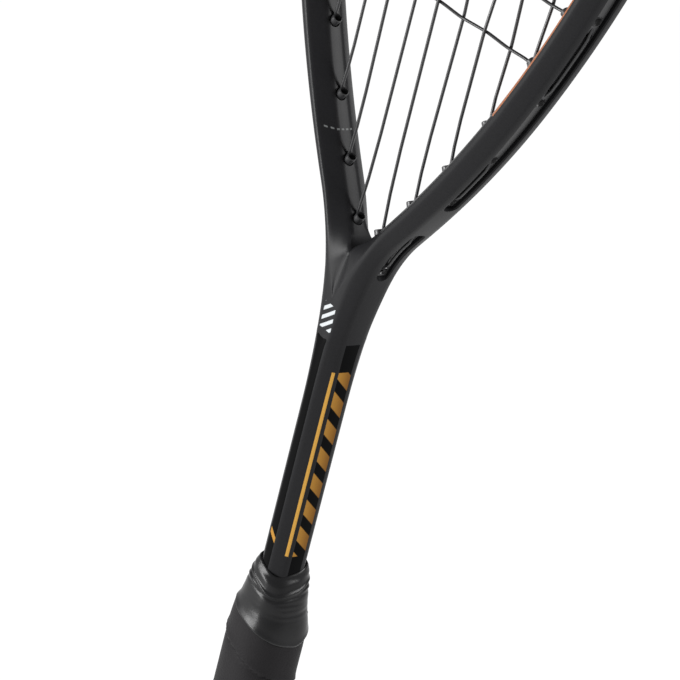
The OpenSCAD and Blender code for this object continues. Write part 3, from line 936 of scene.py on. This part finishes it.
# %% [markdown]
# Every finish is made of shader nodes that read the piece's own coordinates, so it
# sits still on the object from any side. A small helper adds a node, sets its
# sockets and links what is a link, which keeps each material to a few lines.

# %% Helpers for the finishes
class Finish:
    """A material with its nodes, where a socket is given by its name or number."""

    def __init__(self, name, **sockets):
        self.material = bpy.data.materials.new(name)
        self.material.use_nodes = True
        self.nodes = self.material.node_tree.nodes
        self.shader = self.nodes["Principled BSDF"]
        self.fill(self.shader, sockets)

    def fill(self, target, sockets):
        for name, value in sockets.items():
            socket = target.inputs[int(name[1:]) if name[1:].isdigit() else name.replace("_", " ")]
            if isinstance(value, bpy.types.NodeSocket):
                self.material.node_tree.links.new(value, socket)
            elif hasattr(socket.default_value, "__len__") and not hasattr(value, "__len__"):
                socket.default_value = [value] * 3 + [1] * (len(socket.default_value) - 3)
            elif hasattr(value, "__len__") and len(value) < len(socket.default_value):
                socket.default_value = (*value, 1)
            else:
                socket.default_value = value

    def add(self, kind, output=0, settings=(), **sockets):
        target = self.nodes.new("ShaderNode" + kind)
        for name, value in dict(settings).items():
            setattr(target, name, value)
        self.fill(target, sockets)
        return target.outputs[output]

    def math(self, operation, first, second=0.0):
        return self.add("Math", settings={"operation": operation}, _0=first, _1=second)

    def mix(self, share, first, second):
        """Two colours mixed by a share from 0 to 1."""
        target = self.nodes.new("ShaderNodeMix")
        target.data_type = "RGBA"
        self.fill(target, {"_0": share, "_6": first, "_7": second})
        return target.outputs[2]

    def step(self, value, edge, soft):
        """0 below an edge and 1 above it, with a soft border."""
        return self.add("MapRange", settings={"interpolation_type": "SMOOTHSTEP"},
            _0=value, _1=edge - soft, _2=edge + soft, _3=0.0, _4=1.0)

    def inside(self, value, low, high, soft):
        """1 between two edges and 0 outside them."""
        return self.math("MULTIPLY", self.step(value, low, soft),
            self.math("SUBTRACT", 1.0, self.step(value, high, soft)))

    def bump(self, height, strength, distance):
        normal = self.add("Bump", Height=height, Strength=strength, Distance=distance)
        self.fill(self.shader, {"Normal": normal})

    def place(self):
        """The object's coordinates and their three parts."""
        spot = self.add("TexCoord", output=3)
        parts = self.nodes.new("ShaderNodeSeparateXYZ")
        self.fill(parts, {"_0": spot})
        return spot, parts.outputs[0], parts.outputs[1], parts.outputs[2]


def wear(piece, *finishes):
    while len(piece.data.materials) < len(finishes):
        piece.data.materials.append(None)
    for number, finish in enumerate(finishes):
        piece.data.materials[number] = finish.material


print("helpers ready")

# %% [markdown]
# The carbon frame is painted. Above a level break it is a satin charcoal with a
# very fine metallic flake. Below it the narrow front strip and the flanks turn to
# gloss black, the chamfers between them stay satin, and each flank carries a row
# of slanted gold bars beside a bright gold line. The real racket has lettering in
# that place, and the bars stand for it. The bars' gold is painted lighter at the
# front as a highlight and darker at the back as shade, and the line is the
# lettering's gold at the chamfer's edge, painted brighter as the highlight there.
# A few light grey dashes mark the throat.

# %% Frame paint
GOLD_LOW, GOLD_HIGH, BAR_PITCH = 0.186, 0.258, 0.0105
paint = Finish("satin_charcoal_paint", Specular_IOR_Level=0.12)
spot, x, y, z = paint.place()
flake = paint.add("TexVoronoi", output=1, _0=spot, Scale=2600.0)
flake_share = paint.math("MULTIPLY", paint.add("SeparateColor", _0=flake), 0.35)
grey = paint.mix(flake_share, (0.0094, 0.0094, 0.0103), (0.0152, 0.0152, 0.0164))
# A bright gold line on the chamfer beside the flank: the lettering's gold, painted brighter as the
# highlight that edge catches.
painted_edge_glint = paint.math("MULTIPLY", paint.inside(y, -0.0049, -0.0040, 0.00007),
    paint.inside(z, GOLD_LOW, GOLD_HIGH, 0.0001))
painted = paint.mix(painted_edge_glint, grey, (0.50, 0.27, 0.05))
mark_run = paint.math("ADD", z, paint.math("MULTIPLY", x, -0.8))
mark = paint.inside(paint.math("FRACT", paint.math("DIVIDE", mark_run, 0.0034)), 0.15, 0.6, 0.03)
mark = paint.math("MULTIPLY", mark, paint.inside(z, 0.2715, 0.2808, 0.0001))
mark = paint.math("MULTIPLY", mark, paint.inside(x, -0.0026, 0.0036, 0.0001))
mark = paint.math("MULTIPLY", mark, paint.math("SUBTRACT", 1.0, paint.step(y, -0.005, 0.0002)))
painted = paint.mix(mark, painted, (0.45, 0.47, 0.48))
smear = paint.add("TexNoise", _0=spot, Scale=55.0, Detail=3.0)
satin = paint.math("ADD", 0.34, paint.math("MULTIPLY", smear, 0.10))
# A row of small dashes crosses the left arm, where the real one has a line of small print.
print_row = paint.math("MULTIPLY", paint.inside(z, 0.3323, 0.3328, 0.00008),
    paint.inside(y, -0.0066, 0.0030, 0.0001))
print_row = paint.math("MULTIPLY", print_row, paint.math("LESS_THAN", x, 0.0))
dashes = paint.inside(paint.math("FRACT", paint.math("DIVIDE", y, 0.0017)), 0.2, 0.75, 0.04)
painted = paint.mix(paint.math("MULTIPLY", print_row, dashes), painted, (0.13, 0.135, 0.135))
paint.fill(paint.shader, {"Base Color": painted, "Roughness": satin})
paint.bump(paint.add("TexNoise", _0=spot, Scale=900.0, Detail=2.0), 0.05, 0.0002)

gloss = Finish("gloss_black_paint", Specular_IOR_Level=0.03)
spot, x, y, z = gloss.place()
lean = gloss.math("ADD", z, gloss.math("MULTIPLY", y, 0.95))
phase = gloss.math("FRACT", gloss.math("DIVIDE", lean, BAR_PITCH))
bars = gloss.math("MULTIPLY", gloss.inside(phase, 0.12, 0.68, 0.02),
    gloss.inside(y, -0.0036, 0.0031, 0.00008))
bars = gloss.math("MULTIPLY", bars, gloss.inside(z, GOLD_LOW, GOLD_HIGH, 0.0001))
bars = gloss.math("MULTIPLY", bars, gloss.step(gloss.math("ABSOLUTE", x), 0.0052, 0.0001))
# One short slanted dash sits on the front strip, near the handle.
dash_run = gloss.math("ADD", z, gloss.math("MULTIPLY", x, 0.8))
dash = gloss.math("MULTIPLY", gloss.inside(dash_run, 0.1905, 0.1927, 0.0001),
    gloss.math("LESS_THAN", y, -0.007))
dash = gloss.math("MULTIPLY", dash, gloss.inside(x, -0.0016, 0.0020, 0.0001))
bars = gloss.math("MAXIMUM", bars, dash)
# The bars' gold is painted lighter on the front half as a highlight and darker on the back half as shade.
lit_and_shaded_gold = gloss.mix(gloss.step(y, 0.0, 0.0035), (0.34, 0.17, 0.032), (0.15, 0.065, 0.014))
polish = gloss.add("TexNoise", _0=spot, Scale=80.0)
gloss.fill(gloss.shader, {"Base Color": gloss.mix(bars, (0.0018, 0.0018, 0.002), lit_and_shaded_gold),
    "Roughness": gloss.math("ADD", 0.12, gloss.math("MULTIPLY", polish, 0.08))})

copper = Finish("copper_paint", Specular_IOR_Level=0.4)
spot, x, y, z = copper.place()
flake = copper.add("TexVoronoi", _0=spot, Scale=2600.0)
copper.fill(copper.shader, {"Base Color": copper.mix(flake, (0.20, 0.055, 0.015), (0.34, 0.11, 0.03)),
    "Roughness": copper.math("ADD", 0.3, copper.math("MULTIPLY", flake, 0.1))})
wear(frame_piece, paint, gloss, copper)
print("finishes on the frame:", [finish.name for finish in frame_piece.data.materials])

# %% [markdown]
# The other finishes are simpler: nylon and string are dark plastics with a soft
# sheen, the grip is a smooth polyurethane with fine pores, and the tape is a vinyl
# that shines a little more. The inlay is gold, the staples are bright steel and
# the foam core is pale with open cells.

# %% The other finishes
nylon = Finish("black_nylon", Base_Color=(0.02, 0.02, 0.021), Roughness=0.38)
spot, x, y, z = nylon.place()
nylon.bump(nylon.add("TexNoise", _0=spot, Scale=700.0), 0.1, 0.0003)
for piece in nylon_pieces:
    wear(piece, nylon)

string = Finish("black_string", Base_Color=(0.012, 0.012, 0.013), Roughness=0.33)
spot, x, y, z = string.place()
string.bump(string.add("TexNoise", _0=spot, Scale=1500.0), 0.04, 0.0001)
for piece in (mains, crosses, knot_piece):
    wear(piece, string)

grip = Finish("black_grip", Specular_IOR_Level=0.04)
spot, x, y, z = grip.place()
pores = grip.add("TexVoronoi", _0=spot, Scale=1300.0)
cloud = grip.add("TexNoise", _0=spot, Scale=70.0, Detail=4.0)
grip.fill(grip.shader, {"Base Color": grip.mix(cloud, (0.0135, 0.013, 0.0137), (0.0215, 0.0205, 0.0214)),
    "Roughness": grip.math("ADD", 0.40, grip.math("MULTIPLY", cloud, 0.16))})
grip.bump(grip.math("ADD", pores, grip.math("MULTIPLY", cloud, 1.2)), 0.22, 0.0003)
wear(wrap, grip)

vinyl = Finish("black_vinyl", Specular_IOR_Level=0.18)
spot, x, y, z = vinyl.place()
cloud = vinyl.add("TexNoise", _0=spot, Scale=120.0, Detail=5.0)
vinyl.fill(vinyl.shader, {"Base Color": vinyl.mix(cloud, (0.009, 0.009, 0.0094), (0.0145, 0.0145, 0.0152)),
    "Roughness": vinyl.math("ADD", 0.22, vinyl.math("MULTIPLY", cloud, 0.14))})
vinyl.bump(cloud, 0.25, 0.0006)
wear(tape, vinyl)

rubber = Finish("black_rubber", Base_Color=(0.016, 0.016, 0.017), Roughness=0.62)
spot, x, y, z = rubber.place()
rubber.bump(rubber.add("TexNoise", _0=spot, Scale=900.0, Detail=3.0), 0.3, 0.0003)
wear(cap, rubber)

inlay = Finish("gold_inlay", Base_Color=(0.62, 0.38, 0.11), Metallic=0.85)
spot, x, y, z = inlay.place()
brushed = inlay.add("TexNoise", _0=inlay.add("Mapping", _0=spot, Scale=(30.0, 900.0, 30.0)), Scale=1.0)
inlay.fill(inlay.shader, {"Roughness": inlay.math("ADD", 0.22, inlay.math("MULTIPLY", brushed, 0.2))})

steel = Finish("staple_steel", Base_Color=(0.55, 0.56, 0.58), Metallic=1.0)
spot, x, y, z = steel.place()
scratches = steel.add("TexNoise", _0=spot, Scale=800.0)
steel.fill(steel.shader, {"Roughness": steel.math("ADD", 0.2, steel.math("MULTIPLY", scratches, 0.2))})

foam = Finish("pale_foam", Roughness=0.9)
spot, x, y, z = foam.place()
cells = foam.add("TexVoronoi", _0=spot, Scale=1100.0)
foam.fill(foam.shader, {"Base Color": foam.mix(cells, (0.62, 0.54, 0.34), (0.78, 0.71, 0.50))})
foam.bump(cells, 0.5, 0.0004)

film = Finish("underlay_film", Base_Color=(0.55, 0.55, 0.52), Roughness=0.35)
spot, x, y, z = film.place()
film.bump(film.add("TexNoise", _0=spot, Scale=400.0), 0.2, 0.0003)

kept_nodes = {"butt_insert": inlay, "butt_staples": steel, "grip_start_staple": steel,
    "handle_pallet_left": foam, "handle_pallet_right": foam, "shaft_plug": foam,
    "grip_underlay": film}
for name, finish in kept_nodes.items():
    wear(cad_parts[name], finish)
print("finishes:", len(bpy.data.materials), "materials")

# %% [markdown]
# The racket stands on its butt on a plain white floor, as in a catalogue. The
# floor is large, so nothing else shows behind it. A dark satin object is drawn by
# what it reflects, so the sky is soft and large lamps stand where a highlight is
# wanted: one low in front for the throat's web, and one high at the back right.

# %% Floor, light and view
bpy.ops.object.select_all(action="DESELECT")
bpy.ops.mesh.primitive_plane_add(size=60, location=(0, 0, -0.0005))
floor = bpy.context.object
floor.name = "floor"
white = Finish("white_floor", Base_Color=(0.12, 0.12, 0.12), Roughness=0.9,
    Specular_IOR_Level=0.0, Emission_Color=(1, 1, 1), Emission_Strength=0.96)
wear(floor, white)

world = bpy.data.worlds.new("studio")
bpy.context.scene.world = world
world.use_nodes = True
world.node_tree.nodes["Background"].inputs[0].default_value = (1, 1, 1, 1)
world.node_tree.nodes["Background"].inputs[1].default_value = 0.22


def softbox(name, spot, towards, size, power):
    bpy.ops.object.light_add(type="AREA", location=spot)
    lamp = bpy.context.object
    lamp.name = name
    lamp.data.shape = "RECTANGLE"
    lamp.data.size, lamp.data.size_y = size
    lamp.data.energy = power
    way = Vector(towards) - Vector(spot)
    lamp.rotation_euler = way.to_track_quat("-Z", "Y").to_euler()
    return lamp


softbox("front", (-0.5, -1.45, 0.3), (0, 0, 0.29), (0.9, 0.55), 36)
softbox("right", (1.3, 1.15, 1.25), (0, 0, 0.36), (0.8, 0.8), 36)
bpy.context.scene.view_settings.view_transform = "Standard"
